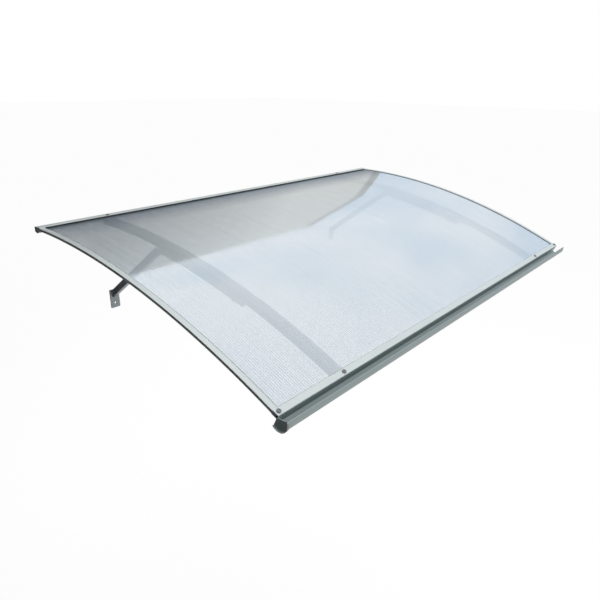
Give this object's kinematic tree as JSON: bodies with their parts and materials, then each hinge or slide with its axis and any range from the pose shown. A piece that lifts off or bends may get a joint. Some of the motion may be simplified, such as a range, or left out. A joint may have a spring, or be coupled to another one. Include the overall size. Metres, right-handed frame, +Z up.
{
  "type": "door canopy",
  "caption": "Wall-mounted door canopy: bent translucent roof sheet in an aluminium frame with a front gutter and two wall arms.",
  "frame": {"origin": "middle of the wall seal's back face, on the wall", "axes": "+X along the wall to the right seen from the front, -Y out from the wall, +Z up"},
  "size_m": [1.5042, 0.9348, 0.3012],
  "materials": {
    "frame_aluminium": "satin anodised, faintly green-grey",
    "gutter_aluminium": "satin anodised, grey",
    "arm_aluminium": "satin, grey",
    "steel": "bright zinc",
    "rubber": "matt black",
    "cap_plastic": "grey moulded",
    "black_plastic": "black moulded",
    "pad_plastic": "white foam tape",
    "polycarbonate": "translucent, pale blue-white"
  },
  "bodies": {
    "root": {"arm_bolt_front_left": "steel", "arm_bolt_front_right": "steel", "arm_bolt_rear_left": "steel", "arm_bolt_rear_right": "steel", "arm_foot_left": "arm_aluminium", "arm_foot_right": "arm_aluminium", "arm_left": "arm_aluminium", "arm_plug_left": "black_plastic", "arm_plug_right": "black_plastic", "arm_right": "arm_aluminium", "corner_screw_left": "steel", "corner_screw_right": "steel", "front_corner_cap_left": "cap_plastic", "front_corner_cap_right": "cap_plastic", "front_gasket": "rubber", "front_screw_left": "steel", "front_screw_right": "steel", "front_seal": "rubber", "front_strip": "frame_aluminium", "gutter_end_cap": "cap_plastic", "gutter_profile": "gutter_aluminium", "rear_gasket": "rubber", "rear_screw_left": "steel", "rear_screw_right": "steel", "rib_left": "frame_aluminium", "rib_pad_left": "pad_plastic", "rib_pad_right": "pad_plastic", "rib_right": "frame_aluminium", "roof_sheet": "polycarbonate", "side_arch_left": "frame_aluminium", "side_arch_right": "frame_aluminium", "side_gasket_left": "rubber", "side_gasket_right": "rubber", "wall_profile": "frame_aluminium", "wall_profile_cap_left": "cap_plastic", "wall_profile_cap_right": "cap_plastic", "wall_seal": "rubber"}
  },
  "joints": []
}
